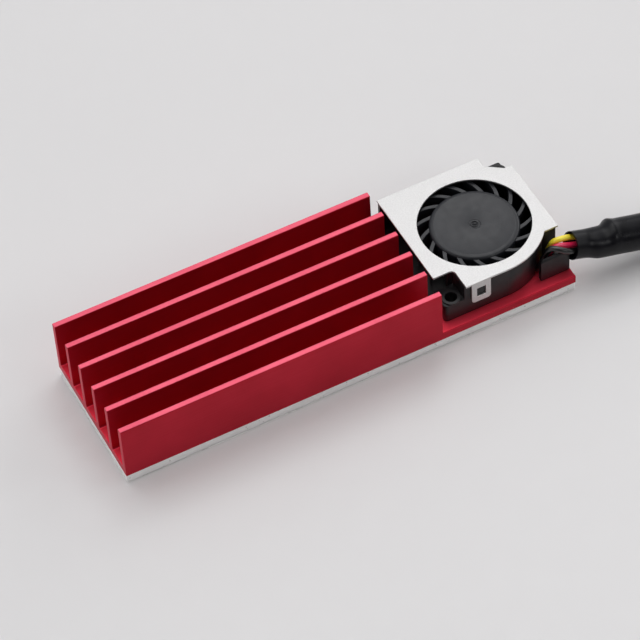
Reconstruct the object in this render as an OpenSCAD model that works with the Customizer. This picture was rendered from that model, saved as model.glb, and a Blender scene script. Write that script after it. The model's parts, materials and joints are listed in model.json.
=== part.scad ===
// Cooler for an M.2 2280 drive: finned aluminium heatsink, 20 mm blower and thermal pad.
// Origin: centre of the underside. +X runs towards the fan end, +Z is up.

/* [Heatsink] */
// Length of the heatsink and of the thermal pad
sink_l = 70; // [68:1:75]
// Width of the heatsink and of the thermal pad
sink_w = 22; // [22:0.5:24]
// Thickness of the base plate
base_t = 1.3; // [1:0.1:2]
// Height of the fins above the base plate
fin_h = 8.1; // [6:0.1:9]
// Thickness of one fin
fin_t = 0.9; // [0.7:0.05:1.1]
// Number of fins
fin_count = 6; // [5:1:7]
// Length of the finned stretch, which ends at the fan bay
fin_l = 48.8; // [46:0.1:48.8]

/* [Thermal pad] */
// Thickness of the silicone pad
pad_t = 1.5; // [1:0.1:2]
// Thickness of the release liner under the pad
liner_t = 0.1; // [0.05:0.05:0.2]

/* [Fan] */
// Thickness of the double-sided tape under the fan
tape_t = 0.1; // [0.1:0.05:0.2]
// Height of the fan, from its floor to the top of its cover
fan_h = 6; // [6:0.1:6.4]
// Sheet thickness of the metal cover
cover_t = 0.3; // [0.2:0.05:0.3]
// Radius of the round inlet in the cover
inlet_r = 8.1; // [7.6:0.1:8.1]
// Outer radius of the rotor hub
hub_r = 6.45; // [6.4:0.05:6.6]
// Number of blades
blade_count = 17; // [11:1:21]
// Radius of the blade tips
blade_r = 8.75; // [8.3:0.05:8.75]
// Angle by which a blade's tip leads its root
blade_lead = 19; // [5:1:25]
// Radius of the steel shaft
shaft_r = 0.5; // [0.4:0.05:0.5]
// Radial clearance between the shaft and its bearing
shaft_gap = 0.02; // [0.01:0.01:0.05]

/* [Lead] */
// Diameter of each of the fan's own wires
wire_d = 0.88; // [0.7:0.02:0.88]
// Diameter of the three-wire lead beyond the heat-shrink sleeve
lead_d = 2.4; // [2:0.1:2.4]
// Length of the straight runs of the folded lead
hank_run = 36; // [34:1:38]
// Radius of the folds of the lead, at the middle of the cord
fold_r = 7.2; // [7:0.1:7.4]

/* [Connector] */
// Distance between neighbouring contacts
pin_pitch = 2.54; // [2:0.01:2.54]
// Length of the connector housing
plug_l = 12.3; // [11:0.1:13]
// Width of the connector housing
plug_w = 7.6; // [7.6:0.1:8]
// Height of the connector housing without its ribs
plug_h = 5; // [4.8:0.1:5.2]

/* [Hidden] */

$fn = 48;
eps = 0.01;

// Heights of the stacked layers
pad_top = liner_t + pad_t;
base_top = pad_top + base_t;
fin_top = base_top + fin_h;
fan_z = base_top + tape_t;
cover_top = fan_z + fan_h;
cover_under = cover_top - cover_t;

// Heatsink profile
fin_pitch = (sink_w - fin_t) / (fin_count - 1);
fin_round = 0.15;
root_fillet = 0.3;
base_edge = 0.15;

// Fan, measured from its own centre
fan_x = sink_l / 2 - 10;
fan_y = 0.1;
floor_t = 0.5;
floor_top = fan_z + floor_t;
left_x = -10;
right_x = 9.5;
front_y = -9.6;
back_y = 10.05;
chamber_r = 9.1;
wall_r = 9.6;
outlet_front = -6.2;
outlet_back = 9.5;
tongue_x = -6.9;
front_ear_top = fan_z + 3.1;
back_ear_top = fan_z + 3.8;
front_ear_round = 0.6;
back_ear_round = 0.3;
ear_rim_h = 0.2;
ear_hole_r = 0.9;
ear_hole_at = 8.4;
post_x = [5.3, 9.85];
post_y = [-9.6, -8.9];
post_top = fan_z + 4.2;
post_round = 0.8;
post_edge = 0.6;
post_relief = 0.55;
slot_angle = -48;
slot_w = 3;
slot_top = fan_z + 1.2;

// Cover, measured from the fan's centre
cover_front = -9.95;
cover_back = 10.4;
cover_right = 9.85;
notch_x = [6.25, 8.65];
notch_y = [6.9, 8.65];
tab_low = fan_z + 2;
catch_low = fan_z + 3.1;
catch_high = fan_z + 4.7;

// Rotor
rotor_low = fan_z + 1.2;
hub_top = cover_under;
hub_wall = 0.6;
hub_roof = 0.65;
hub_shoulder = 0.45;
blade_top = cover_under - 0.35;
blade_t = 0.6;
blade_root = hub_r - 0.25;
blade_steps = 4;
blade_mid = (blade_root + blade_r) / 2;
blade_sweep = atan(blade_lead * PI / 180 * blade_mid / (blade_r - blade_root));
blade_arc = blade_t / cos(blade_sweep);
yoke_r = hub_r - hub_wall;
yoke_t = 0.35;
magnet_t = 0.75;
magnet_in = yoke_r - yoke_t - magnet_t;
yoke_top = hub_top - hub_roof;
boss_r = 1.2;
clip_r = 0.85;

// Stator and bearing
stator_r = magnet_in - 0.2;
core_low = fan_z + 2;
core_h = 1.6;
arm_w = 0.8;
insulator_t = 0.15;
tube_r = 1.5;
bearing_r = 1.1;
bearing_low = fan_z + 1.2;
bearing_top = fan_z + 4.2;
board_low = fan_z + 1;
board_t = 0.4;
board_r = 5;

// The fan's wires: points are x, y from the fan's centre and height
lane = wire_d + 0.04;
wire_floor = fan_z + 0.02 + wire_d / 2;
yellow_rise = [[7.65, -6.85, 4.4], [7.95, -6.9, 5.3], [8.2, -7, 6.2], [8.35, -7.3, 7.1],
    [8.7, -7.6, 7.65], [9.3, -7.8, 7.85], [10, -7.87, 7.78], [10.6, -7.92, 7.65]];
red_rise = [[6.95, -7.6, 4.4], [7.35, -7.75, 5.3], [7.7, -7.9, 6.2], [8, -8.1, 6.95],
    [8.4, -8.4, 7.35], [9, -8.62, 7.45], [9.7, -8.77, 7.28], [10.6, -8.87, 6.98]];
black_rise = [[6.1, -8.1, 4.4], [6.35, -8.12, 5.4], [6.7, -8.2, 6.4], [7.05, -8.38, 7.2],
    [7.5, -8.62, 7.66], [8.1, -9.15, 7.76], [8.7, -9.6, 7.62], [9.4, -9.88, 7.36],
    [10, -9.95, 7.1], [10.6, -9.92, 6.85]];

// Heat-shrink sleeve: points of its centreline, and the radius at each
sleeve_route = [[35.4, -8.8, 6.95], [36.5, -8.85, 6.62], [37.5, -8.9, 6.3],
    [38.4, -9.02, 6.05], [39.3, -9.13, 5.85], [40.2, -9.2, 5.88], [40.9, -9.24, 5.95],
    [41.7, -9.3, 5.75], [42.6, -9.44, 5.58], [45.8, -9.78, 5], [51, -10.1, 4],
    [56, -10.3, 3.25], [60, -10.4, 2.75], [62, -10.4, 2.5], [63.5, -10.4, 2.3]];
sleeve_radii = [2.05, 2.03, 2.03, 2.1, 2.28, 2.55, 2.68, 2.62, 2.58, 2.6, 2.6, 2.6, 2.5,
    2.1, 1.5];

// Lead beyond the sleeve, laid along the surface that the cooler stands on
run_y = -9.8;
fold_x = 75;
hank_end_x = fold_x + hank_run;
hank_y = run_y + fold_r;
hank_h = 2 * lead_d;
lead_route = [[63.5, -10.4, 2.3], [67, -10.1, 1.6], [71.5, -9.8, 1.2]];
tail_route = [[hank_end_x + 3.8, -9.7, 3.5], [hank_end_x + 8, -9.3, 3.1],
    [hank_end_x + 11, -9, 2.5]];
plug_x = hank_end_x + 11;
plug_y = -9;
tie_x = 90;
tie_w = 2.5;
tie_t = 0.45;

// ---------------------------------------------------------------- helpers

function unit(v) = v / norm(v);

function tangent(route, i) = unit(
    route[min(i + 1, len(route) - 1)] - route[max(i - 1, 0)]);

function ring(centre, along, side, r, sides) =
    let (u = unit(cross(along, side)), v = cross(u, along))
    [for (k = [0 : sides - 1])
        centre + r * (cos(360 * k / sides) * u + sin(360 * k / sides) * v)];

// A round solid swept along a route; side is a direction that the route never takes.
module tube(route, radii, side, sides = 8) {
    last = len(route) - 1;
    points = [for (i = [0 : last])
        each ring(route[i], tangent(route, i), side, radii[i], sides)];
    walls = [for (i = [0 : last - 1], k = [0 : sides - 1])
        let (a = i * sides + k, b = i * sides + (k + 1) % sides)
        [a, b, b + sides, a + sides]];
    start = [for (k = [sides - 1 : -1 : 0]) k];
    end = [for (k = [0 : sides - 1]) last * sides + k];
    polyhedron(points, concat([start, end], walls));
}

module at_fan() {
    translate([fan_x, fan_y, 0]) children();
}

module block(x, y, z) {
    translate([x[0], y[0], z[0]]) cube([x[1] - x[0], y[1] - y[0], z[1] - z[0]]);
}

module rect(x, y) {
    translate([x[0], y[0]]) square([x[1] - x[0], y[1] - y[0]]);
}

module slab(low, high) {
    translate([0, 0, low]) linear_extrude(high - low) children();
}

module pipe(outer, inner, low, high) {
    slab(low, high) difference() {
        circle(outer);
        circle(inner);
    }
}

// ---------------------------------------------------------------- heatsink and pad

module fin_profile() {
    rect([0, fin_t], [0, fin_top - fin_round]);
    rect([fin_round, fin_t - fin_round], [0, fin_top]);
    for (y = [fin_round, fin_t - fin_round])
        translate([y, fin_top - fin_round]) circle(fin_round, $fn = 24);
}

module root_fillets() {
    for (side = [0, 1])
        translate([side * fin_t, base_top]) mirror([1 - side, 0]) difference() {
            square(root_fillet);
            translate([root_fillet, root_fillet]) circle(root_fillet, $fn = 24);
        }
}

module sink_profile() {
    difference() {
        union() {
            rect([-sink_w / 2, sink_w / 2], [pad_top, base_top]);
            for (i = [0 : fin_count - 1])
                translate([-sink_w / 2 + i * fin_pitch, 0]) intersection() {
                    union() {
                        fin_profile();
                        root_fillets();
                    }
                    rect([-root_fillet, fin_t + root_fillet], [pad_top, fin_top]);
                }
        }
        rect([-sink_w, -sink_w / 2], [0, fin_top]);
        rect([sink_w / 2, sink_w], [0, fin_top]);
    }
}

module heatsink() {
    color("firebrick") difference() {
        translate([-sink_l / 2, 0, 0]) rotate([90, 0, 90]) linear_extrude(sink_l)
            sink_profile();
        block([-sink_l / 2 + fin_l, sink_l], [-sink_w, sink_w], [base_top, fin_top + 1]);
        for (side = [-1, 1])
            translate([-sink_l / 2 + fin_l, side * sink_w / 2, base_top])
                rotate([45, 0, 0]) translate([0, -base_edge / 2, -base_edge / 2])
                    cube([sink_l, base_edge, base_edge]);
    }
}

module thermal_pad() {
    color("gainsboro")
        block([-sink_l / 2, sink_l / 2], [-sink_w / 2, sink_w / 2], [liner_t, pad_top]);
}

module pad_liner() {
    color("whitesmoke")
        block([-sink_l / 2, sink_l / 2], [-sink_w / 2, sink_w / 2], [0, liner_t]);
}

// ---------------------------------------------------------------- fan housing and cover

module chamber_outline() {
    circle(chamber_r, $fn = 96);
    translate([-0.2, 0.3]) circle(chamber_r + 0.05, $fn = 96);
    rect([left_x - 1, 0], [outlet_front, outlet_back]);
}

module wall_outline() {
    rect([left_x, right_x], [outlet_front, notch_y[0] - 0.1]);
    rect([left_x, notch_x[0] - 0.1], [6, back_y]);
    intersection() {
        circle(wall_r + 0.95, $fn = 96);
        rect([0, notch_x[1] - 0.1], [0, notch_y[1] - 0.1]);
    }
    rect([tongue_x, 0], [front_y, 0]);
    intersection() {
        circle(wall_r, $fn = 96);
        rect([0, right_x], [-wall_r, 0]);
    }
}

module front_ear_outline() {
    round = front_ear_round;
    rect([left_x + round, tongue_x + eps], [front_y, outlet_front]);
    rect([left_x, tongue_x], [front_y + round, outlet_front]);
    translate([left_x + round, front_y + round]) circle(round);
}

module back_ear_outline() {
    round = back_ear_round;
    rect([6, right_x], [6.5, back_y - round]);
    rect([6, right_x - round], [6.5, back_y]);
    translate([right_x - round, back_y - round]) circle(round);
}

module ear(side, top) {
    slab(fan_z, top) difference() {
        children();
        chamber_outline();
    }
    translate([side * ear_hole_at, side * ear_hole_at, 0])
        pipe(1.35, ear_hole_r, top - eps, top + ear_rim_h);
}

// The post's outline seen from the front, and its outline seen from the left
module post_front() {
    rect(post_x, [fan_z, post_top - post_round]);
    rect([post_x[0] + post_round, post_x[1]], [fan_z, post_top]);
    translate([post_x[0] + post_round, post_top - post_round]) circle(post_round);
}

// The top back edge is cut away where the red wire passes over it
module post_side() {
    difference() {
        union() {
            rect(post_y, [fan_z, post_top - post_edge]);
            rect([post_y[0] + post_edge, post_y[1]], [fan_z, post_top]);
            translate([post_y[0] + post_edge, post_top - post_edge]) circle(post_edge);
        }
        translate([post_y[1], post_top]) rotate(45)
            square(post_relief * sqrt(2), center = true);
    }
}

module post() {
    intersection() {
        translate([0, post_y[1], 0]) rotate([90, 0, 0])
            linear_extrude(post_y[1] - post_y[0]) post_front();
        translate([post_x[0], 0, 0]) rotate([90, 0, 90])
            linear_extrude(post_x[1] - post_x[0]) post_side();
    }
}

module catches() {
    block([-5, -3.8], [front_y - 0.2, front_y + eps], [catch_low + 0.2, catch_high - 0.2]);
    block([right_x - eps, right_x + 0.2], [-0.6, 0.6], [catch_low + 0.2, catch_high - 0.2]);
    block([-7.1, -5.9], [back_y - eps, back_y + 0.2], [catch_low + 0.2, catch_high - 0.2]);
}

module fan_housing() {
    color("#2b2628") at_fan() difference() {
        union() {
            slab(fan_z, cover_under) difference() {
                wall_outline();
                chamber_outline();
            }
            slab(fan_z, floor_top) wall_outline();
            ear(-1, front_ear_top) front_ear_outline();
            ear(1, back_ear_top) back_ear_outline();
            slab(fan_z, floor_top) rect([5.9, post_x[1]], [post_y[0], outlet_front]);
            post();
            catches();
            pipe(tube_r + 0.9, tube_r, fan_z, board_low);
        }
        for (side = [-1, 1])
            translate([side * ear_hole_at, side * ear_hole_at, fan_z - 1])
                cylinder(r = ear_hole_r, h = fan_h);
        translate([0, 0, fan_z - 1]) cylinder(r = tube_r, h = fan_h);
        rotate([0, 0, slot_angle])
            block([3.4, 11], [-slot_w / 2, slot_w / 2], [fan_z - 1, slot_top]);
    }
}

module cover_outline() {
    difference() {
        union() {
            rect([left_x, cover_right], [-6.3, notch_y[0]]);
            rect([left_x, notch_x[0]], [6, cover_back]);
            polygon([[0, 0], [notch_x[1], 0], [notch_x[1], notch_y[0]],
                [notch_x[0], notch_y[1]], [0, notch_y[1]]]);
            rect([-6.8, 0], [cover_front, 0]);
            rect([-7.5, -6.8], [-7, -6.3]);
            intersection() {
                translate([0, -0.1]) circle(-cover_front - 0.1, $fn = 96);
                rect([0, wall_r], [cover_front, 0]);
            }
        }
        translate([-7.5, -7]) circle(0.7);
        circle(inlet_r, $fn = 96);
    }
}

// One bent-down tab with a square catch window, standing on the plane x, z
module snap_tab(width) {
    window = 0.7;
    corner = 0.5;
    rotate([90, 0, 0]) linear_extrude(cover_t) difference() {
        union() {
            rect([-width / 2, width / 2], [tab_low + corner, cover_top]);
            rect([corner - width / 2, width / 2 - corner], [tab_low, cover_top]);
            for (side = [-1, 1])
                translate([side * (width / 2 - corner), tab_low + corner]) circle(corner);
        }
        rect([-window, window], [catch_low, catch_high]);
    }
}

module fan_cover() {
    color("silver") at_fan() {
        slab(cover_under, cover_top) cover_outline();
        translate([-4.4, cover_front + cover_t, 0]) snap_tab(3);
        translate([cover_right - cover_t, 0, 0]) rotate([0, 0, 90]) snap_tab(4);
        translate([-6.5, cover_back, 0]) snap_tab(4);
    }
}

module fan_tape() {
    color("lightgrey") at_fan() slab(base_top, fan_z) {
        rect([left_x + 0.4, 2], [front_y + 0.4, back_y - 0.4]);
        rect([2, right_x - 0.4], [-5, back_y - 0.4]);
    }
}

// ---------------------------------------------------------------- motor, standing half

module bearing_tube() {
    color("goldenrod") at_fan() {
        pipe(tube_r, bearing_r, fan_z + 0.6, core_low + core_h + 0.6);
        slab(fan_z, fan_z + 0.6) circle(tube_r);
    }
}

module sleeve_bearing() {
    color("peru") at_fan()
        pipe(bearing_r, shaft_r + shaft_gap, bearing_low, bearing_top);
}

module thrust_plate() {
    color("white") at_fan() slab(fan_z + 0.6, fan_z + 0.7) circle(bearing_r - 0.05);
}

module circuit_board() {
    color("darkgreen") at_fan() slab(board_low, board_low + board_t) difference() {
        circle(board_r);
        circle(tube_r + 0.05);
    }
}

module driver_chip() {
    color("#202020") at_fan() rotate([0, 0, 45]) translate([3.3, 0, 0]) {
        block([-0.8, 0.8], [-0.75, 0.75], [board_low + board_t + 0.05, board_low + board_t + 0.4]);
        for (x = [-0.5, 0.5], side = [-1, 1])
            translate([x, side * 0.85, 0])
                block([-0.12, 0.12], [-0.2, 0.2], [board_low + board_t, board_low + board_t + 0.2]);
    }
}

module board_parts() {
    color("tan") at_fan() for (angle = [135, 225, 315])
        rotate([0, 0, angle]) translate([3.4, 0, 0])
            block([-0.25, 0.25], [-0.5, 0.5], [board_low + board_t, board_low + board_t + 0.35]);
}

module solder_joints() {
    color("lightsteelblue") at_fan() rotate([0, 0, slot_angle])
        for (y = [-lane, 0, lane])
            translate([4.1, y, fan_z + 0.3]) cylinder(r = 0.3, h = board_low - fan_z - 0.3);
}

module core_outline(trim = 0) {
    circle(tube_r + 0.5 - trim);
    for (angle = [0, 90, 180, 270])
        rotate([0, 0, angle]) rect([0, stator_r - 0.3], [trim - arm_w / 2, arm_w / 2 - trim]);
    intersection() {
        difference() {
            circle(stator_r - trim);
            circle(stator_r - 0.5 + trim);
        }
        for (angle = [0, 90])
            rotate([0, 0, angle]) rect([-stator_r, stator_r], [trim - 2.4, 2.4 - trim]);
    }
}

module stator_core() {
    color("slategrey") at_fan() slab(core_low, core_low + core_h) difference() {
        core_outline();
        circle(tube_r);
        for (angle = [45, 135, 225, 315])
            rotate([0, 0, angle]) rect([stator_r - 1, stator_r + 1], [-0.4, 0.4]);
    }
}

module insulator(low) {
    slab(low, low + insulator_t) difference() {
        core_outline(0.05);
        circle(tube_r);
        for (angle = [45, 135, 225, 315])
            rotate([0, 0, angle]) rect([stator_r - 1, stator_r + 1], [-0.5, 0.5]);
    }
}

module stator_insulators() {
    color("ivory") at_fan() {
        insulator(core_low - insulator_t);
        insulator(core_low + core_h);
    }
}

module stator_coils() {
    color("chocolate") at_fan() for (angle = [0, 90, 180, 270])
        rotate([0, 0, angle]) difference() {
            block([2.2, stator_r - 0.75], [-0.95, 0.95],
                [core_low - 0.45, core_low + core_h + 0.45]);
            block([2, stator_r], [-arm_w / 2, arm_w / 2],
                [core_low - insulator_t, core_low + core_h + insulator_t]);
        }
}

// ---------------------------------------------------------------- motor, turning half

function blade_side(edge) = [for (i = [0 : blade_steps])
    let (
        r = blade_root + (blade_r - blade_root) * i / blade_steps,
        turn = blade_lead * i / blade_steps + edge * blade_arc / r * 90 / PI
    )
    r * [cos(turn), sin(turn)]];

module blade() {
    left = blade_side(1);
    right = blade_side(-1);
    slab(rotor_low + 0.1, blade_top)
        polygon(concat(right, [for (i = [blade_steps : -1 : 0]) left[i]]));
}

module impeller() {
    color("#54565a") at_fan() {
        rotate_extrude($fn = 96) difference() {
            union() {
                rect([0, hub_r], [rotor_low, hub_top - hub_shoulder]);
                rect([0, hub_r - hub_shoulder], [rotor_low, hub_top]);
                translate([hub_r - hub_shoulder, hub_top - hub_shoulder])
                    circle(hub_shoulder);
            }
            rect([boss_r, yoke_r], [0, yoke_top]);
            rect([0, boss_r + eps], [0, bearing_top + 0.15]);
            rect([0, shaft_r], [0, yoke_top + 0.3]);
        }
        for (i = [0 : blade_count - 1])
            rotate([0, 0, (i + 0.4) * 360 / blade_count]) blade();
    }
}

module rotor_yoke() {
    color("darkgrey") at_fan() {
        pipe(yoke_r, yoke_r - yoke_t, rotor_low + 0.1, yoke_top);
        pipe(yoke_r - yoke_t / 2, boss_r, yoke_top - yoke_t, yoke_top);
    }
}

module rotor_magnet() {
    color("dimgrey") at_fan()
        pipe(yoke_r - yoke_t, magnet_in, rotor_low + 0.3, rotor_low + 3.2);
}

module shaft() {
    color("gainsboro") at_fan() rotate_extrude() difference() {
        union() {
            rect([0, shaft_r], [fan_z + 0.9, yoke_top + 0.3]);
            rect([0, shaft_r - 0.2], [fan_z + 0.72, fan_z + 1]);
        }
        rect([shaft_r - 0.08, shaft_r + 1], [fan_z + 1, fan_z + 1.15]);
    }
}

module shaft_clip() {
    color("white") at_fan() pipe(clip_r, shaft_r - 0.08, fan_z + 1, fan_z + 1.15);
}

// ---------------------------------------------------------------- lead

function slot_point(s, offset) = [
    s * cos(slot_angle) - offset * sin(slot_angle),
    s * sin(slot_angle) + offset * cos(slot_angle),
    wire_floor
];

function wire_route(offset, rise) = concat(
    [slot_point(4.4, offset), slot_point(6.5, offset), slot_point(8.6, offset),
        slot_point(9.6, offset) + [0, 0, 0.15]],
    rise);

module wire(offset, rise) {
    route = wire_route(offset, rise);
    at_fan() tube(route, [for (p = route) wire_d / 2],
        [-sin(slot_angle), cos(slot_angle), 0]);
}

module wire_yellow() {
    color("orange") wire(lane, yellow_rise);
}

module wire_red() {
    color("crimson") wire(0, red_rise);
}

module wire_black() {
    color("#1c1c1c") wire(-lane, black_rise);
}

module heat_shrink() {
    color("#232325") tube(sleeve_route, sleeve_radii, [0, 1, 0], 12);
}

module lead() {
    color("#303030") tube(lead_route, [for (p = lead_route) lead_d / 2], [0, 1, 0]);
}

module lead_tail() {
    color("#303030") tube(tail_route, [for (p = tail_route) lead_d / 2], [0, 1, 0]);
}

module stadium(r) {
    rect([fold_x, hank_end_x], [hank_y - r, hank_y + r]);
    for (x = [fold_x, hank_end_x])
        translate([x, hank_y]) circle(r, $fn = 64);
}

module lead_hank() {
    color("#303030") difference() {
        slab(0, hank_h) difference() {
            stadium(fold_r + lead_d / 2);
            stadium(fold_r - lead_d / 2);
        }
        block([tie_x - tie_w, tie_x + tie_w], [run_y - 2, run_y + 2], [-1, tie_t + 0.05]);
    }
}

module cable_tie() {
    inside = lead_d / 2 + 0.05;
    outside = inside + tie_t;
    loop_top = hank_h + 0.05;
    color("white") {
        difference() {
            block([tie_x - tie_w / 2, tie_x + tie_w / 2], [run_y - outside, run_y + outside],
                [0, loop_top + tie_t]);
            block([tie_x - tie_w, tie_x + tie_w], [run_y - inside, run_y + inside],
                [tie_t, loop_top]);
        }
        difference() {
            block([tie_x - 2, tie_x + 2], [run_y + outside, run_y + outside + 2.6],
                [1.4, 4.4]);
            block([tie_x - 1.3, tie_x + 1.3], [run_y + outside + 0.5, run_y + outside + 1.1],
                [1, 5]);
        }
    }
}

// ---------------------------------------------------------------- connector

module at_plug() {
    translate([plug_x, plug_y, 0]) children();
}

module at_contacts() {
    for (y = [-pin_pitch, 0, pin_pitch]) translate([0, y, 0]) children();
}

module connector_housing() {
    color("ivory") at_plug() difference() {
        union() {
            block([0, plug_l], [-plug_w / 2, plug_w / 2], [0, plug_h]);
            block([plug_l - 5.5, plug_l], [-1.9, 1.9], [plug_h - eps, plug_h + 0.8]);
            for (side = [-1, 1])
                block([plug_l - 5.5, plug_l], [side * 3.2 - 0.4, side * 3.2 + 0.4],
                    [plug_h - eps, plug_h + 0.8]);
        }
        at_contacts() block([0.6, plug_l + 1], [-1, 1], [1.4, 3.4]);
        at_contacts() block([3, 5.5], [-0.7, 0.7], [-1, 1.5]);
    }
}

module connector_contacts() {
    color("gold") at_plug() at_contacts() difference() {
        block([0.8, plug_l - 0.6], [-0.85, 0.85], [1.55, 3.25]);
        block([plug_l - 6, plug_l + 1], [-0.5, 0.5], [1.9, 2.9]);
    }
}

thermal_pad();
pad_liner();
heatsink();
fan_tape();
fan_housing();
fan_cover();
bearing_tube();
sleeve_bearing();
thrust_plate();
circuit_board();
driver_chip();
board_parts();
solder_joints();
stator_core();
stator_insulators();
stator_coils();
impeller();
rotor_yoke();
rotor_magnet();
shaft();
shaft_clip();
wire_yellow();
wire_red();
wire_black();
heat_shrink();
lead();
lead_hank();
lead_tail();
cable_tie();
connector_housing();
connector_contacts();
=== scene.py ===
"""Looks of a finned cooler for an M.2 drive, with its small blower and its folded lead."""

import json
import math
import random

import bmesh
import bpy
from mathutils import Matrix, Vector


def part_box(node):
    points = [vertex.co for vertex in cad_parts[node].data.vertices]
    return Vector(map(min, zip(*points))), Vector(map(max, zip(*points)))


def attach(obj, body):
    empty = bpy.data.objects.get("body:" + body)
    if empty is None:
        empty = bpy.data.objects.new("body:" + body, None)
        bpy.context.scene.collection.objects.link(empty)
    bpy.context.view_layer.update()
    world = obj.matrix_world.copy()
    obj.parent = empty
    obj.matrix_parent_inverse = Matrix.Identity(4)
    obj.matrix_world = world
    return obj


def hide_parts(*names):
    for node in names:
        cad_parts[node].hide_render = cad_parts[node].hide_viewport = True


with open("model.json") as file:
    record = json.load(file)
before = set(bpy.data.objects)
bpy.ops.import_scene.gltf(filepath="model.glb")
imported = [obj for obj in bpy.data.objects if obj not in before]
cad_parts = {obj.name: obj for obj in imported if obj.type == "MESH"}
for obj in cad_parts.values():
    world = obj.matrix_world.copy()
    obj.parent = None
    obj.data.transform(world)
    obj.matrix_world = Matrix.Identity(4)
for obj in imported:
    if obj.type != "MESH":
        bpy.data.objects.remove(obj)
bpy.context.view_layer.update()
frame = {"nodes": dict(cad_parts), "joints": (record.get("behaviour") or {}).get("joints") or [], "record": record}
MM = 0.001
random.seed(7)

# The blower's axis, from the joint that it turns on
FAN_X, FAN_Y = frame["joints"][0]["pos_m"][:2]

# The impeller: its heights come from its CAD solid, and its radii repeat the CAD's
ROTOR_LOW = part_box("impeller")[0].z
HUB_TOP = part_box("impeller")[1].z
HUB_R = 6.45 * MM
BLADE_R = 8.75 * MM
BLADE_COUNT = 17
FIRST_BLADE = 0.4
BLADE_LEAD = math.radians(19)
BLADE_ARC = 0.84 * MM
BLADE_TAPER = 0.1

# A height between the base plate and the fins' tops, where the painted highlight on upward faces switches from the
# base's colour to the fins' colour
FIN_MIDDLE = 6 * MM

# The fan's wires: points from the fan's centre, and the height
WIRE_R = 0.44 * MM
SLOT_ANGLE = math.radians(-48)
SLOT_HEIGHT = 3.46
WIRE_LANE = 0.92
YELLOW_RISE = [
    (7.65, -6.85, 4.4),
    (7.95, -6.9, 5.3),
    (8.2, -7.0, 6.2),
    (8.35, -7.3, 7.1),
    (8.7, -7.6, 7.65),
    (9.3, -7.8, 7.85),
    (10.0, -7.87, 7.78),
    (10.6, -7.92, 7.65),
    (12.6, -8.1, 6.9),
    (14.2, -8.4, 6.3),
]
RED_RISE = [
    (6.95, -7.6, 4.4),
    (7.35, -7.75, 5.3),
    (7.7, -7.9, 6.2),
    (8.0, -8.1, 6.95),
    (8.4, -8.4, 7.35),
    (9.0, -8.62, 7.45),
    (9.7, -8.77, 7.28),
    (10.6, -8.87, 6.98),
    (12.6, -9.0, 6.4),
    (14.2, -9.1, 5.9),
]
BLACK_RISE = [
    (6.1, -8.1, 4.4),
    (6.35, -8.12, 5.4),
    (6.7, -8.2, 6.4),
    (7.05, -8.38, 7.2),
    (7.5, -8.62, 7.66),
    (8.1, -9.15, 7.76),
    (8.7, -9.6, 7.62),
    (9.4, -9.88, 7.36),
    (10.0, -9.95, 7.1),
    (10.6, -9.92, 6.85),
    (12.6, -9.7, 6.1),
    (14.2, -9.6, 5.6),
]

# Heat-shrink sleeve: points of its centreline and the radius at each, in millimetres
SLEEVE = [
    (35.4, -8.8, 6.95, 2.05),
    (36.5, -8.85, 6.62, 2.03),
    (37.5, -8.93, 6.33, 2.05),
    (38.2, -9.0, 6.21, 2.2),
    (39.0, -9.08, 6.09, 2.44),
    (40.0, -9.17, 5.94, 2.52),
    (41.4, -9.32, 5.75, 2.54),
    (42.6, -9.44, 5.58, 2.58),
    (45.8, -9.78, 5.0, 2.58),
    (51.0, -10.1, 4.0, 2.6),
    (56.0, -10.3, 3.25, 2.6),
    (60.0, -10.4, 2.75, 2.5),
    (62.0, -10.4, 2.5, 2.1),
    (63.5, -10.4, 2.3, 1.5),
]
SLEEVE_MOUTH_R = 2.05
SLEEVE_WALL = 0.3
SLEEVE_BORE = 4.0
SLEEVE_RINGS_APART = 0.35

# The sleeve's step, in millimetres along it, and the crest on its back and top
STEP_START = 4.85
STEP_SPAN = 1.3
BACK_TOP_ANGLE = 0.73
CREST_HEIGHT = 0.26
CREST_AT = STEP_START + 1.4
CREST_SPAN = 0.55

# Three-strand lead, laid in two folds on the surface that the cooler stands on
LEAD_R = 1.2
STRAND_R = 0.55
STRAND_PITCH = 14.0
LEAD_START = [(61.5, -10.4, 2.5), (63.5, -10.4, 2.3), (67, -10.1, 1.6), (71.5, -9.8, 1.2)]
LEAD_END = [(114.8, -9.7, 3.5), (119, -9.3, 3.1), (122, -9.0, 2.5), (123.2, -9.0, 2.4)]
RUN_Y = -9.8
FOLD_X = 75.0
HANK_END_X = 111.0
FOLD_R = 7.2
LOW_RUN, HIGH_RUN = 1.2, 3.6
PIN_PITCH = 2.54
FAN_OUT_FROM = 9.0
FAN_OUT_SPAN = 7.0

# Cable tie around the hank's two stacked runs
TIE_X = 90.0
TIE_WIDTH = 2.5
STRAP_T = 0.45
LOOP_INSIDE = 1.25
LOOP_ROUND = 1.0
HEAD_HALF = 2.0
CHEEK_FROM = 1.3
HEAD_Y = RUN_Y + 1.7
HEAD_Z = (1.4, 4.4)
HEAD_SLOT = (0.5, 1.1)
HEAD_DEPTH = 2.6
TAIL_HALF = 1.2
TAIL_GAP = 0.08
TAIL_Z = (0.8, 4.9)


def mm(*xyz):
    """A point given in millimetres, as a vector in metres."""
    return Vector(xyz) * MM


def smoothstep(value):
    value = min(max(value, 0.0), 1.0)
    return value * value * (3 - 2 * value)


# ------------------------------------------------------------------ camera, floor and light


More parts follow.
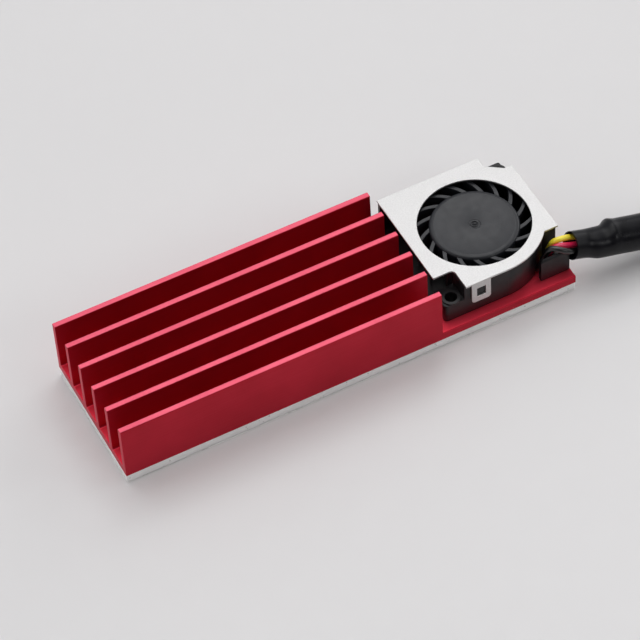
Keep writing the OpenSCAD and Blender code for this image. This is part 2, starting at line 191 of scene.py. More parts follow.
def make_camera():
    azimuth, elevation, roll = (math.radians(d) for d in (-24.13, 49.88, -4.19))
    target = mm(-0.68, -2.02, 5.0)
    distance = 485.34 * MM
    back = Vector(
        (
            math.sin(azimuth) * math.cos(elevation),
            -math.cos(azimuth) * math.cos(elevation),
            math.sin(elevation),
        )
    )
    right = (-back).cross(Vector((0, 0, 1))).normalized()
    up = right.cross(-back)
    rolled_right = math.cos(roll) * right + math.sin(roll) * up
    rolled_up = math.cos(roll) * up - math.sin(roll) * right
    data = bpy.data.cameras.new("camera")
    data.lens = 196.875
    data.sensor_width = 36
    data.clip_start, data.clip_end = 0.01, 10
    camera = bpy.data.objects.new("camera", data)
    bpy.context.collection.objects.link(camera)
    axes = Matrix((rolled_right, rolled_up, back)).transposed().to_4x4()
    camera.matrix_world = Matrix.Translation(target + back * distance) @ axes
    bpy.context.scene.camera = camera


def area_light(name, place, size, watts):
    """A soft light of this size, turned towards the middle of the floor."""
    data = bpy.data.lights.new(name, "AREA")
    data.shape = "RECTANGLE"
    data.size, data.size_y = size
    data.energy = watts
    lamp = bpy.data.objects.new(name, data)
    lamp.location = place
    lamp.rotation_euler = (-Vector(place)).to_track_quat("-Z", "Y").to_euler()
    bpy.context.collection.objects.link(lamp)


def make_lights():
    """A softbox overhead, a panel at each side, two lamps, and walls that are brighter behind."""
    area_light("overhead_softbox", (0.03, 0.16, 0.8), (0.85, 0.85), 3.5)
    area_light("right_panel", (1, 0, 0.4), (1.8, 0.7), 6.2)
    area_light("left_panel", (-1, 0, 0.4), (1.8, 0.7), 2.9)
    area_light("front_lamp", (0.21, -0.61, 0.47), (0.25, 0.25), 0.58)
    area_light("back_lamp", (0.35, 0.55, 0.75), (0.3, 0.3), 0.55)
    world = bpy.data.worlds.new("studio")
    world.use_nodes = True
    nodes, links = world.node_tree.nodes, world.node_tree.links
    direction = nodes.new("ShaderNodeTexCoord")
    slant = nodes.new("ShaderNodeVectorMath")
    slant.operation = "DOT_PRODUCT"
    slant.inputs[1].default_value = Vector((0.1, 0.8, 0.6)).normalized()
    walls = nodes.new("ShaderNodeValToRGB")
    walls.color_ramp.elements[0].position = 0.0
    walls.color_ramp.elements[0].color = (0.10, 0.10, 0.105, 1)
    walls.color_ramp.elements[1].position = 0.85
    walls.color_ramp.elements[1].color = (1.0, 1.0, 1.03, 1)
    background = nodes["Background"]
    background.inputs["Strength"].default_value = 0.53
    links.new(direction.outputs["Generated"], slant.inputs[0])
    links.new(slant.outputs["Value"], walls.inputs["Fac"])
    links.new(walls.outputs["Color"], background.inputs["Color"])
    bpy.context.scene.world = world
    bpy.context.scene.view_settings.view_transform = "Standard"


# ------------------------------------------------------------------ materials


def grey(value):
    return (value, value, value, 1)


def new_material(name, **sockets):
    """A material whose shader has these constants; a name's underscores stand for spaces."""
    material = bpy.data.materials.new(name)
    material.use_nodes = True
    shader = material.node_tree.nodes["Principled BSDF"]
    for socket, value in sockets.items():
        shader.inputs[socket.replace("_", " ")].default_value = value
    return material


def add_node(material, kind, **settings):
    node = material.node_tree.nodes.new(kind)
    for name, value in settings.items():
        setattr(node, name, value)
    return node


def join(material, output, entry):
    material.node_tree.links.new(output, entry)


def surface(material):
    return material.node_tree.nodes["Principled BSDF"]


def noise(material, size, stretch=(1, 1, 1), detail=3.0):
    """Noise fixed to the piece, with blotches of this size in metres, stretched along its axes."""
    place = add_node(material, "ShaderNodeTexCoord")
    scaling = add_node(material, "ShaderNodeMapping")
    scaling.inputs["Scale"].default_value = [1 / (size * s) for s in stretch]
    pattern = add_node(material, "ShaderNodeTexNoise")
    pattern.inputs["Scale"].default_value = 1
    pattern.inputs["Detail"].default_value = detail
    join(material, place.outputs["Object"], scaling.inputs["Vector"])
    join(material, scaling.outputs["Vector"], pattern.inputs["Vector"])
    return pattern.outputs["Fac"]


def remap(material, value, low, high, start=0.3, end=0.7):
    spread = add_node(material, "ShaderNodeMapRange")
    spread.inputs["From Min"].default_value = start
    spread.inputs["From Max"].default_value = end
    spread.inputs["To Min"].default_value = low
    spread.inputs["To Max"].default_value = high
    join(material, value, spread.inputs["Value"])
    return spread.outputs["Result"]


def colour_between(material, value, dark, light):
    ramp = add_node(material, "ShaderNodeValToRGB")
    ramp.color_ramp.elements[0].position = 0.3
    ramp.color_ramp.elements[0].color = dark
    ramp.color_ramp.elements[1].position = 0.7
    ramp.color_ramp.elements[1].color = light
    join(material, value, ramp.inputs["Fac"])
    return ramp.outputs["Color"]


def mix_colours(material, mask, where_0, where_1):
    mixer = add_node(material, "ShaderNodeMix", data_type="RGBA")
    join(material, mask, mixer.inputs["Factor"])
    join(material, where_0, mixer.inputs[6])
    join(material, where_1, mixer.inputs[7])
    return mixer.outputs[2]


def paint(material, colour):
    join(material, colour, surface(material).inputs["Base Color"])


def roughen(material, value):
    join(material, value, surface(material).inputs["Roughness"])


def emboss(material, height, depth, strength=1.0):
    """Bump from a height pattern; stacked bumps feed each other."""
    normal = surface(material).inputs["Normal"]
    bump = add_node(material, "ShaderNodeBump")
    bump.inputs["Distance"].default_value = depth
    bump.inputs["Strength"].default_value = strength
    join(material, height, bump.inputs["Height"])
    if normal.is_linked:
        join(material, normal.links[0].from_socket, bump.inputs["Normal"])
    join(material, bump.outputs["Normal"], normal)


def facing(material, axis):
    """1 where the piece's own surface faces along this axis, either way, and 0 elsewhere."""
    place = add_node(material, "ShaderNodeTexCoord")
    split = add_node(material, "ShaderNodeSeparateXYZ")
    size = add_node(material, "ShaderNodeMath", operation="ABSOLUTE")
    join(material, place.outputs["Normal"], split.inputs["Vector"])
    join(material, split.outputs[axis], size.inputs[0])
    return remap(material, size.outputs[0], 0, 1, 0.7, 0.9)


def above(material, level):
    """1 where the surface is higher than this level, and 0 below it."""
    place = add_node(material, "ShaderNodeTexCoord")
    split = add_node(material, "ShaderNodeSeparateXYZ")
    join(material, place.outputs["Object"], split.inputs["Vector"])
    return remap(material, split.outputs["Z"], 0, 1, level - 0.0005, level + 0.0005)


def speckle(material, size, share):
    """Small round flecks: 1 in a fleck and 0 elsewhere."""
    place = add_node(material, "ShaderNodeTexCoord")
    cells = add_node(material, "ShaderNodeTexVoronoi")
    cells.inputs["Scale"].default_value = 1 / size
    join(material, place.outputs["Object"], cells.inputs["Vector"])
    return remap(material, cells.outputs["Distance"], 1, 0, share * 0.5, share)


def red_anodised():
    """Blasted, dyed aluminium, sawn at its ends, with a painted highlight on its upward faces: a brighter painted
    red on the base and a pinker painted sheen on the fins' tops.
    """
    made = new_material("red_anodised", Metallic=0.9, Coat_Weight=0.06, Coat_Roughness=0.3)
    drawn = noise(made, 0.00022, (140, 1, 1))
    clouds = noise(made, 0.006)
    dyed = colour_between(made, clouds, (0.45, 0.008, 0.025, 1), (0.51, 0.012, 0.033, 1))
    # Painted highlight: a lighter, pinker colour for the fins' upward tops, where the overhead light falls
    painted_top_highlight = colour_between(made, clouds, (0.67, 0.095, 0.15, 1), (0.74, 0.12, 0.18, 1))
    sawn = colour_between(made, drawn, (0.55, 0.025, 0.05, 1), (0.68, 0.05, 0.09, 1))
    # Painted highlight: a brighter red for the base's upward faces, where the light falls on them
    painted_base_highlight = colour_between(made, clouds, (0.90, 0.045, 0.085, 1), (0.97, 0.06, 0.105, 1))
    # Upward faces take these painted highlight colours in place of the dyed red
    upward_painted_highlight = mix_colours(made, above(made, FIN_MIDDLE), painted_base_highlight, painted_top_highlight)
    dyed_with_painted_highlight = mix_colours(made, facing(made, "Z"), dyed, upward_painted_highlight)
    paint(made, mix_colours(made, facing(made, "X"), dyed_with_painted_highlight, sawn))
    roughen(made, remap(made, drawn, 0.46, 0.56))
    emboss(made, drawn, 0.000006, 0.6)
    emboss(made, noise(made, 0.0001), 0.000004, 0.4)
    return made


def plastic(name, dark, light, low_gloss=0.4, high_gloss=0.55, shine=0.5):
    """A moulded plastic with cloudy colour and a fine spark-eroded grain."""
    made = new_material(name, Specular_IOR_Level=shine)
    paint(made, colour_between(made, noise(made, 0.003), dark, light))
    roughen(made, remap(made, noise(made, 0.0012), low_gloss, high_gloss))
    emboss(made, noise(made, 0.00018), 0.000008, 0.6)
    return made


def metal(name, dark, light, low_gloss=0.25, high_gloss=0.4, stretch=(1, 1, 1)):
    """A bare or plated metal with faint stains and working marks."""
    made = new_material(name, Metallic=1.0)
    paint(made, colour_between(made, noise(made, 0.0025), dark, light))
    marks = noise(made, 0.00012, stretch)
    roughen(made, remap(made, marks, low_gloss, high_gloss))
    emboss(made, marks, 0.000004, 0.5)
    return made


def cover_sheet():
    """Dull sheet metal with a fine grain in its colour and its surface."""
    made = new_material("cover_sheet", Metallic=1.0)
    grain = noise(made, 0.00022, detail=5)
    paint(made, colour_between(made, grain, (0.56, 0.555, 0.55, 1), (0.64, 0.635, 0.63, 1)))
    marks = noise(made, 0.00012)
    roughen(made, remap(made, marks, 0.46, 0.56))
    emboss(made, marks, 0.000004, 0.5)
    emboss(made, noise(made, 0.00016, detail=5), 0.00003, 0.8)
    return made


def silicone_pad():
    """Soft pale silicone with flecks of dust."""
    made = new_material(
        "silicone_pad",
        Subsurface_Weight=0.35,
        Subsurface_Scale=0.0015,
        Subsurface_Radius=(1, 1, 1),
        IOR=1.42,
    )
    cloudy = colour_between(
        made, noise(made, 0.002), (0.90, 0.90, 0.89, 1), (0.96, 0.95, 0.94, 1)
    )
    dust = colour_between(made, noise(made, 0.0008), (0.55, 0.55, 0.53, 1), (0.64, 0.64, 0.62, 1))
    paint(made, mix_colours(made, speckle(made, 0.0009, 0.16), cloudy, dust))
    roughen(made, remap(made, noise(made, 0.0007), 0.6, 0.8))
    emboss(made, noise(made, 0.0004), 0.00003, 0.7)
    return made


def liner_film():
    made = new_material("liner_film", Transmission_Weight=0.12, IOR=1.5)
    clouds = noise(made, 0.01)
    paint(made, colour_between(made, clouds, (0.84, 0.82, 0.81, 1), (0.90, 0.88, 0.87, 1)))
    roughen(made, remap(made, noise(made, 0.002), 0.25, 0.4))
    emboss(made, noise(made, 0.0015), 0.00001, 0.5)
    return made


def shrink_tube():
    made = new_material("shrink_tube", Specular_IOR_Level=0.2)
    clouds = noise(made, 0.002)
    paint(made, colour_between(made, clouds, (0.002, 0.002, 0.003, 1), (0.005, 0.005, 0.007, 1)))
    roughen(made, remap(made, noise(made, 0.0015), 0.26, 0.36))
    emboss(made, noise(made, 0.0006, (3, 1, 1)), 0.00002, 0.5)
    emboss(made, noise(made, 0.00015), 0.000006, 0.5)
    return made


def insulation(name, dark, light):
    """Extruded wire insulation, glossy with faint streaks."""
    made = new_material(name, Coat_Weight=0.4, Coat_Roughness=0.06)
    paint(made, colour_between(made, noise(made, 0.0015), dark, light))
    roughen(made, remap(made, noise(made, 0.0006), 0.28, 0.42))
    emboss(made, noise(made, 0.0003), 0.000006, 0.5)
    return made


def black_moulding():
    dark, light = (0.004, 0.003, 0.004, 1), (0.007, 0.006, 0.007, 1)
    return plastic("black_moulding", dark, light, 0.38, 0.5, 0.35)


def rotor_plastic():
    dark, light = (0.010, 0.011, 0.014, 1), (0.014, 0.015, 0.019, 1)
    made = plastic("rotor_plastic", dark, light, 0.32, 0.42, 0.4)
    emboss(made, noise(made, 0.0009), 0.000006, 0.4)
    return made


def tie_nylon():
    made = plastic("tie_nylon", (0.60, 0.60, 0.57, 1), (0.72, 0.72, 0.69, 1), 0.3, 0.42)
    surface(made).inputs["Subsurface Weight"].default_value = 0.15
    surface(made).inputs["Subsurface Scale"].default_value = 0.0006
    return made


def make_materials():
    """Every material by its slot's name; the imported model's plain ones make way for them."""
    for plain in list(bpy.data.materials):
        bpy.data.materials.remove(plain)
    made = [
        red_anodised(),
        cover_sheet(),
        silicone_pad(),
        liner_film(),
        shrink_tube(),
        rotor_plastic(),
        tie_nylon(),
        black_moulding(),
        plastic("tape", (0.40, 0.40, 0.38, 1), (0.5, 0.5, 0.48, 1), 0.6, 0.8),
        plastic("magnet", grey(0.02), grey(0.035), 0.5, 0.7),
        plastic("washer_plastic", grey(0.6), grey(0.7), 0.35, 0.5),
        plastic("board_green", (0.008, 0.09, 0.03, 1), (0.014, 0.13, 0.045, 1), 0.25, 0.4),
        plastic("chip_black", grey(0.012), grey(0.02), 0.45, 0.6),
        plastic("component_tan", (0.30, 0.20, 0.12, 1), (0.40, 0.28, 0.18, 1), 0.3, 0.5),
        plastic("insulator", (0.55, 0.50, 0.38, 1), (0.65, 0.60, 0.47, 1)),
        plastic("plug_nylon", (0.60, 0.57, 0.49, 1), (0.70, 0.67, 0.59, 1), 0.35, 0.5),
        metal("yoke_steel", grey(0.42), grey(0.52)),
        metal("shaft_steel", grey(0.6), grey(0.7), 0.12, 0.2, (1, 1, 12)),
        metal("brass_tube", (0.60, 0.42, 0.15, 1), (0.70, 0.50, 0.20, 1)),
        metal("bronze", (0.42, 0.24, 0.11, 1), (0.52, 0.31, 0.15, 1), 0.4, 0.55),
        metal("solder", grey(0.55), grey(0.68), 0.15, 0.3),
        metal("lamination", grey(0.25), grey(0.34), 0.35, 0.5, (6, 6, 1)),
        metal("copper_wire", (0.50, 0.17, 0.06, 1), (0.62, 0.24, 0.09, 1), 0.2, 0.35),
        metal("contact_tin", (0.60, 0.58, 0.52, 1), (0.70, 0.68, 0.62, 1), 0.2, 0.35, (10, 1, 1)),
        insulation("wire_yellow", (1.0, 0.76, 0.03, 1), (1.0, 0.86, 0.07, 1)),
        insulation("wire_red", (0.66, 0.012, 0.07, 1), (0.76, 0.02, 0.10, 1)),
        insulation("wire_black", grey(0.002), grey(0.004)),
    ]
    return {material.name: material for material in made}


def floor_paint():
    made = new_material("floor_paint")
    clouds = noise(made, 0.2)
    paint(made, colour_between(made, clouds, (0.70, 0.69, 0.69, 1), (0.73, 0.72, 0.72, 1)))
    roughen(made, remap(made, noise(made, 0.004), 0.55, 0.7))
    emboss(made, noise(made, 0.0006), 0.00001, 0.3)
    return made


def make_floor():
    bm = bmesh.new()
    bmesh.ops.create_grid(bm, x_segments=1, y_segments=1, size=3)
    mesh = bpy.data.meshes.new("floor")
    bm.to_mesh(mesh)
    bm.free()
    floor = bpy.data.objects.new("floor", mesh)
    mesh.materials.append(floor_paint())
    bpy.context.collection.objects.link(floor)


# ------------------------------------------------------------------ mesh helpers


def piece_from(bm, name, slots, body="cooler", smooth_angle=None):
    """A piece made of this mesh, with these materials, riding on a body of the frame."""
    bmesh.ops.recalc_face_normals(bm, faces=bm.faces)
    mesh = bpy.data.meshes.new(name)
    bm.to_mesh(mesh)
    bm.free()
    piece = bpy.data.objects.new(name, mesh)
    bpy.context.collection.objects.link(piece)
    for slot in slots:
        mesh.materials.append(MATERIALS[slot])
    mesh.shade_smooth()
    if smooth_angle is not None:
        mesh.set_sharp_from_angle(angle=math.radians(smooth_angle))
    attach(piece, body)
    return piece


def bevel(piece, width):
    """Weld, clean and round a piece's sharp edges with modifiers only."""
    weld = piece.modifiers.new("weld", "WELD")
    weld.merge_threshold = 0.000001
    flat = piece.modifiers.new("flat", "DECIMATE")
    flat.decimate_type = "DISSOLVE"
    flat.angle_limit = math.radians(0.5)
    round_edges(piece, width, 35).harden_normals = True


def round_edges(piece, width, angle):
    """A bevel on every edge sharper than this angle."""
    rounding = piece.modifiers.new("bevel", "BEVEL")
    rounding.width = width
    rounding.segments = 2
    rounding.limit_method = "ANGLE"
    rounding.angle_limit = math.radians(angle)
    return rounding


def catmull_rom(points, steps):
    """A smooth line of points through these ones, which may carry a radius as a fourth value."""
    padded = [points[0], *points, points[-1]]
    line = []
    for before, start, end, after in zip(padded, padded[1:], padded[2:], padded[3:]):
        for step in range(steps):
            t = step / steps
            weights = (
                (-t + 2 * t * t - t**3) / 2,
                (2 - 5 * t * t + 3 * t**3) / 2,
                (t + 4 * t * t - 3 * t**3) / 2,
                (-t * t + t**3) / 2,
            )
            corners = zip(before, start, end, after)
            line.append(tuple(sum(w * v for w, v in zip(weights, values)) for values in corners))
    line.append(tuple(points[-1]))
    return line


def evenly(line, spacing):
    """The same line with its points an even distance apart."""
    travelled = [0.0]
    for a, b in zip(line, line[1:]):
        travelled.append(travelled[-1] + (Vector(b[:3]) - Vector(a[:3])).length)
    count = max(2, round(travelled[-1] / spacing))
    even, here = [], 0
    for i in range(count + 1):
        goal = travelled[-1] * i / count
        while here < len(line) - 2 and travelled[here + 1] < goal:
            here += 1
        share = (goal - travelled[here]) / max(travelled[here + 1] - travelled[here], 1e-9)
        even.append(tuple(a + (b - a) * share for a, b in zip(line[here], line[here + 1])))
    return even


def frames_along(points, side):
    """(point, side, up) at each point, with as little twist as possible."""
    frames = []
    for i, point in enumerate(points):
        tangent = (points[min(i + 1, len(points) - 1)] - points[max(i - 1, 0)]).normalized()
        side = (side - tangent * side.dot(tangent)).normalized()
        frames.append((point, side, tangent.cross(side)))
    return frames


def ring_around(bm, point, side, up, radii):
    """A ring of new vertices, one for each radius."""
    count = len(radii)
    return [
        bm.verts.new(
            point
            + radius * math.cos(math.tau * k / count) * side
            + radius * math.sin(math.tau * k / count) * up
        )
        for k, radius in enumerate(radii)
    ]


def skin(bm, rings, material_index=0, ends=True):
    """Faces from ring to ring, with a face over each end unless the rings make a loop."""
    for a, b in zip(rings, rings[1:]):
        for k in range(len(a)):
            after = (k + 1) % len(a)
            bm.faces.new((a[k], a[after], b[after], b[k])).material_index = material_index
    if ends:
        bm.faces.new(list(reversed(rings[0]))).material_index = material_index
        bm.faces.new(rings[-1]).material_index = material_index


def lathe(bm, profile, centre, segments):
    """A closed solid turned about a standing axis from (radius, height) points."""
    across, up = Vector((1, 0, 0)), Vector((0, 1, 0))
    rings = []
    for radius, height in profile:
        middle = Vector((centre[0], centre[1], height))
        if radius == 0:
            rings.append([bm.verts.new(middle)])
        else:
            rings.append(ring_around(bm, middle, across, up, [radius] * segments))
    for a, b in zip(rings, rings[1:]):
        for k in range(segments):
            corners = [a[k % len(a)], a[(k + 1) % len(a)], b[(k + 1) % len(b)], b[k % len(b)]]
            bm.faces.new(list(dict.fromkeys(corners)))


# ------------------------------------------------------------------ lead, sleeve and wires


def lead_centreline():
    """The lead's centreline in millimetres: along, back and along again, with a fold at each end."""
    middle_y = RUN_Y + FOLD_R
    back_y = RUN_Y + 2 * FOLD_R
    run = [FOLD_X + (HANK_END_X - FOLD_X) * i / 18 for i in range(19)]
    turn = [math.pi * i / 16 for i in range(1, 16)]
    line = list(LEAD_START)
    line += [(x, RUN_Y, LOW_RUN + 0.4 * smoothstep(1 - abs(x - TIE_X) / 6)) for x in run]
    line += [
        (HANK_END_X + FOLD_R * math.sin(a), middle_y - FOLD_R * math.cos(a), LOW_RUN) for a in turn
    ]
    line += [(x, back_y, LOW_RUN) for x in reversed(run)]
    line += [
        (
            FOLD_X - FOLD_R * math.sin(a),
            middle_y + FOLD_R * math.cos(a),
            LOW_RUN + (HIGH_RUN - LOW_RUN) * smoothstep(a / math.pi * 1.15 - 0.1),
        )
        for a in turn
    ]
    line += [(x, RUN_Y, HIGH_RUN) for x in run]
    return evenly(catmull_rom(line + LEAD_END, 4), 1.0)


def strand_offsets(travelled, length, number):
    """Where a strand lies across the lead: twisted on the way, side by side at the connector."""
    spread_from = length - FAN_OUT_FROM
    spread = smoothstep((travelled - spread_from) / FAN_OUT_SPAN)
    turned = math.tau * min(travelled - spread_from, 0) / STRAND_PITCH
    angle = math.radians(30) + math.tau * number / 3 + turned
    radius = LEAD_R - STRAND_R
    lane = (1, -1, 0)[number] * PIN_PITCH
    across = radius * math.cos(angle) * (1 - spread) + lane * spread
    return across, radius * math.sin(angle) * (1 - spread)


def make_lead():
    line = [Vector(p) for p in lead_centreline()]
    length = sum((b - a).length for a, b in zip(line, line[1:]))
    frames = frames_along(line, Vector((0, 1, 0)))
    bm = bmesh.new()
    for number in range(3):
        rings = []
        for i, (point, side, up) in enumerate(frames):
            across, upward = strand_offsets(length * i / (len(line) - 1), length, number)
            centre = point + across * side + upward * up
            rings.append(ring_around(bm, centre * MM, side, up, [STRAND_R * MM] * 10))
        skin(bm, rings, number)
    lead = piece_from(bm, "fan_lead", ["wire_yellow", "wire_red", "wire_black"])
    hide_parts("lead", "lead_hank", "lead_tail")
    return lead, [p * MM for p in line], length * MM


def slot_points(lane):
    """The wire's points in the slot under the rotor, from the fan's centre."""
    along = Vector((math.cos(SLOT_ANGLE), math.sin(SLOT_ANGLE), 0))
    across = Vector((-along.y, along.x, 0))
    points = [along * s + across * lane + Vector((0, 0, SLOT_HEIGHT)) for s in (4.4, 6.5, 8.6)]
    return points + [along * 9.6 + across * lane + Vector((0, 0, SLOT_HEIGHT + 0.15))]


def make_wire(name, lane, rise):
    route = [tuple(p) for p in slot_points(lane)] + rise
    line = [Vector(p) for p in evenly(catmull_rom(route, 6), 0.3)]
    centre = Vector((FAN_X, FAN_Y, 0))
    points = [centre + p * MM for p in line]
    bm = bmesh.new()
    side = Vector((-math.sin(SLOT_ANGLE), math.cos(SLOT_ANGLE), 0))
    rings = [
        ring_around(bm, point, across, up, [WIRE_R] * 16)
        for point, across, up in frames_along(points, side)
    ]
    skin(bm, rings)
    wire = piece_from(bm, name + "_strand", [name])
    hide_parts(name)


def sleeve_radius(radius, along, around):
    """The sleeve's radius in millimetres: its back and top step up later, with a crest."""
    back_top = smoothstep(0.5 + 0.5 * math.cos(around - BACK_TOP_ANGLE))
    stepped = smoothstep((along - STEP_START) / STEP_SPAN)
    held_in = (radius - SLEEVE_MOUTH_R) * (1 - stepped)
    crest = CREST_HEIGHT * math.exp(-(((along - CREST_AT) / CREST_SPAN) ** 2))
    ripple = 0.012 * math.sin(1.3 * along + 2 * around) + 0.02 * math.sin(0.45 * along + around)
    return radius + back_top * (crest - held_in) + ripple * smoothstep((along - 7) / 6)


def make_sleeve():
    """The sleeve, open at its mouth and closed where the lead comes out."""
    line = evenly(catmull_rom(SLEEVE, 6), SLEEVE_RINGS_APART)
    spots = [Vector(p[:3]) for p in line]
    frames = frames_along(spots, Vector((0, 1, 0)))
    step = (spots[1] - spots[0]).length
    sides = 36
    bm = bmesh.new()

    def ring(i, inset):
        point, side, up = frames[i]
        radii = []
        for k in range(sides):
            around = math.tau * k / sides
            radii.append((sleeve_radius(line[i][3], i * step, around) - inset) * MM)
        return ring_around(bm, point * MM, side, up, radii)

    bore = round(SLEEVE_BORE / step)
    inner = [ring(i, SLEEVE_WALL) for i in range(bore, -1, -1)]
    outer = [ring(i, 0) for i in range(len(line))]
    skin(bm, inner + outer)
    sleeve = piece_from(bm, "shrink_sleeve", ["shrink_tube"], smooth_angle=50)
    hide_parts("heat_shrink")


# ------------------------------------------------------------------ cable tie


def tie_loop_profile(inside, low, high, round_r):
    """Points around a rounded loop in the plane across the lead: y, z, and the outward way."""
    profile = []
    corners = [(1, 1), (-1, 1), (-1, -1), (1, -1)]
    for number, (side, top) in enumerate(corners):
        centre_y = side * (inside - round_r)
        centre_z = (high - round_r) if top > 0 else (low + round_r)
        for i in range(7):
            angle = math.radians(90 * number + 90 * i / 6)
            out = (math.cos(angle), math.sin(angle))
            profile.append((centre_y + round_r * out[0], centre_z + round_r * out[1], out))
    return profile


def make_cable_tie():
    low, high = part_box("cable_tie")
    bm = bmesh.new()
    strap = STRAP_T * MM
    loop = tie_loop_profile(LOOP_INSIDE * MM, low.z + strap, high.z - strap, LOOP_ROUND * MM)
    section = [(0, -1), (0, 1), (1, 1), (1, 0.72)]
    section += [(0.82, 0.66), (0.82, -0.66), (1, -0.72), (1, -1)]
    rings = []
    for y, z, (out_y, out_z) in loop:
        ring = []
        for depth, across in section:
            x = (TIE_X + across * TIE_WIDTH / 2) * MM
            place = (x, RUN_Y * MM + y + out_y * strap * depth, z + out_z * strap * depth)
            ring.append(bm.verts.new(place))
        rings.append(ring)
    skin(bm, rings + [rings[0]], ends=False)
    add_tie_head(bm)
    tie = piece_from(bm, "nylon_tie", ["tie_nylon"], smooth_angle=40)
    bevel(tie, 0.08 * MM)
    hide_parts("cable_tie")
    return tie


def add_tie_head(bm):
    """The tie's locking head, a block with a slot, and the strap's cut end standing in it."""
    slot_front, slot_back = (HEAD_Y + depth for depth in HEAD_SLOT)
    whole = (TIE_X - HEAD_HALF, TIE_X + HEAD_HALF)
    add_block(bm, whole, (HEAD_Y, slot_front), HEAD_Z)
    add_block(bm, whole, (slot_back, HEAD_Y + HEAD_DEPTH), HEAD_Z)
    for side in (-1, 1):
        cheek = sorted((TIE_X + side * CHEEK_FROM, TIE_X + side * HEAD_HALF))
        add_block(bm, cheek, (slot_front, slot_back), HEAD_Z)
    tail = (TIE_X - TAIL_HALF, TIE_X + TAIL_HALF)
    add_block(bm, tail, (slot_front + TAIL_GAP, slot_back - TAIL_GAP), TAIL_Z)


def add_block(bm, x, y, z):
    """A block between two places in millimetres on each axis."""
    plan = ((x[0], y[0]), (x[1], y[0]), (x[1], y[1]), (x[0], y[1]))
    corners = [bm.verts.new(mm(a, b, c)) for c in z for a, b in plan]
    bm.faces.new(corners[3::-1])
    bm.faces.new(corners[4:])
    for k in range(4):
        after = (k + 1) % 4
        bm.faces.new((corners[k], corners[after], corners[after + 4], corners[k + 4]))


# ------------------------------------------------------------------ impeller


def hub_profile():
    """(radius, height) of the hub, from the gate mark on its top to the shaft's seat inside."""
    top = HUB_TOP
    mark = [(0, 0.08), (0.14, 0.06), (0.24, -0.12), (0.38, -0.12), (0.46, 0.05), (0.56, 0.05)]
    mark += [(0.68, -0.08), (0.8, -0.08), (0.88, 0), (0.98, -0.02)]
    face = [(3.0, -0.02), (5.6, -0.02), (5.7, 0), (5.8, 0), (5.9, -0.02)]
    profile = [(r * MM, top + z * MM) for r, z in mark + face]
    shoulder = 0.5 * MM
    rim_top = top - 0.03 * MM
    for i in range(1, 9):
        angle = math.radians(90 * i / 8)
        radius = HUB_R - shoulder * (1 - math.sin(angle))
        profile.append((radius, rim_top - shoulder * (1 - math.cos(angle))))
    inner_r, boss_r, shaft_r = 5.85 * MM, 1.2 * MM, 0.5 * MM
    roof, seat = top - 0.65 * MM, top - 0.35 * MM
    boss_low = 7.35 * MM
    profile += [(HUB_R, ROTOR_LOW), (inner_r, ROTOR_LOW), (inner_r, roof), (boss_r, roof)]
    profile += [(boss_r, boss_low), (shaft_r, boss_low), (shaft_r, seat), (0, seat)]
    return profile


def add_blade(bm, turn):
    """A curved blade whose tip leads its root, with rounded long edges."""
    root = HUB_R - 0.25 * MM
    low, high = ROTOR_LOW + 0.1 * MM, HUB_TOP - 0.35 * MM
    steps = 8
    sides = [[], []]
    for i in range(steps + 1):
        share = i / steps
        radius = root + (BLADE_R - root) * share
        half_angle = BLADE_ARC / 2 * (1 - BLADE_TAPER * share) / radius
        for side, outward in zip(sides, (-1, 1)):
            angle = turn + BLADE_LEAD * share + outward * half_angle
            side.append((FAN_X + radius * math.cos(angle), FAN_Y + radius * math.sin(angle)))
    outline = sides[0] + list(reversed(sides[1]))
    bottom = [bm.verts.new((x, y, low)) for x, y in outline]
    top = [bm.verts.new((x, y, high)) for x, y in outline]
    skin(bm, [bottom, top])


def make_impeller():
    bm = bmesh.new()
    lathe(bm, hub_profile(), (FAN_X, FAN_Y), 128)
    for i in range(BLADE_COUNT):
        add_blade(bm, math.tau * (i + FIRST_BLADE) / BLADE_COUNT)
    impeller = piece_from(bm, "impeller_body", ["rotor_plastic"], "rotor", smooth_angle=40)
    round_edges(impeller, 0.06 * MM, 50)
    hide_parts("impeller")


# ------------------------------------------------------------------ thermal pad


def border_places(columns, rows):
    """Places around the edge of a sheet, as shares of its length and of its width."""
    places = [(i / columns, 0) for i in range(columns)]
    places += [(1, j / rows) for j in range(rows)]
    places += [(1 - i / columns, 1) for i in range(columns)]
    places += [(0, 1 - j / rows) for j in range(rows)]
    return places


def cut_in(share, inward):
    """How far an edge is moved: inwards at either end of the sheet, and not at all between."""
    if share == 0:
        return inward
    if share == 1:
        return -inward
    return 0


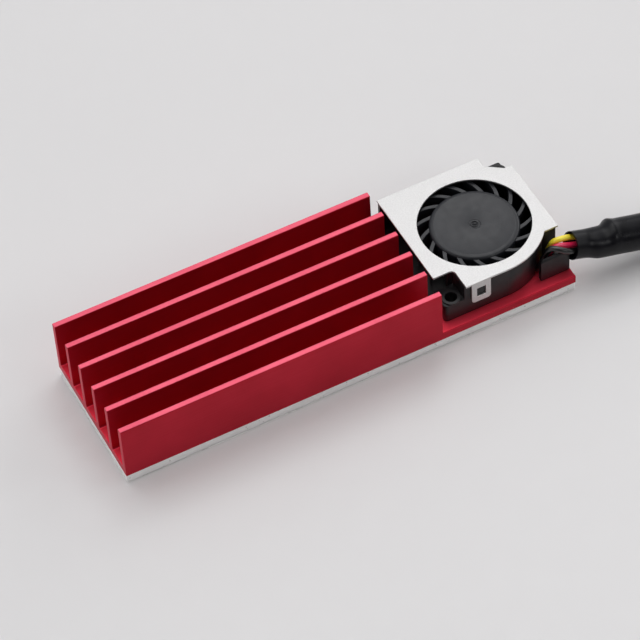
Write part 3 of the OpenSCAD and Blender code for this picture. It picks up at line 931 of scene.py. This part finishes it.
def rough_slab(name, slot, node, spread, cells):
    """A thin sheet cut by hand: its faces are flat and its edges wander by up to spread."""
    low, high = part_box(node)
    size = high - low
    border = border_places(round(size.x / cells), round(size.y / cells))
    drift = [random.uniform(-1, 1) for _ in border]
    layers = 4
    bm = bmesh.new()
    rings = []
    for layer in range(layers + 1):
        share = layer / layers
        belly = 4 * share * (1 - share)
        ring = []
        for k, (u, v) in enumerate(border):
            wander = (drift[k - 1] + 2 * drift[k] + drift[(k + 1) % len(border)]) / 4
            inward = spread * (0.5 + 0.5 * wander) - 0.4 * spread * belly
            x = low.x + size.x * u + cut_in(u, inward)
            y = low.y + size.y * v + cut_in(v, inward)
            ring.append(bm.verts.new((x, y, low.z + size.z * share)))
        rings.append(ring)
    skin(bm, rings)
    sheet = piece_from(bm, name, [slot], smooth_angle=50)
    bevel(sheet, min(0.2 * MM, size.z / 4))
    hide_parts(node)


# ------------------------------------------------------------------ CAD nodes kept


# Width of the rounding on each kept node's edges, in millimetres
EDGE_WIDTHS = {
    "heatsink": 0.16,
    "fan_housing": 0.09,
    "fan_cover": 0.06,
    "connector_housing": 0.15,
    "connector_contacts": 0.05,
    "driver_chip": 0.04,
    "circuit_board": 0.03,
    "stator_core": 0.03,
    "rotor_yoke": 0.06,
    "bearing_tube": 0.04,
}


def finish_cad_nodes():
    slots = {part["node"]: part["material_slot"] for part in frame["record"]["subparts"]}
    for name, node in frame["nodes"].items():
        node.data.materials.clear()
        node.data.materials.append(MATERIALS[slots[name]])
        if name in EDGE_WIDTHS and not node.hide_render:
            bevel(node, EDGE_WIDTHS[name] * MM)


make_camera()
MATERIALS = make_materials()
fan_lead, lead_path, lead_length = make_lead()
make_sleeve()
tie = make_cable_tie()
make_wire("wire_yellow", WIRE_LANE, YELLOW_RISE)
make_wire("wire_red", 0, RED_RISE)
make_wire("wire_black", -WIRE_LANE, BLACK_RISE)
make_impeller()
rough_slab("cut_pad", "silicone_pad", "thermal_pad", spread=0.18 * MM, cells=0.8 * MM)
rough_slab("release_film", "liner_film", "pad_liner", spread=0.25 * MM, cells=2.5 * MM)
finish_cad_nodes()
make_floor()
make_lights()
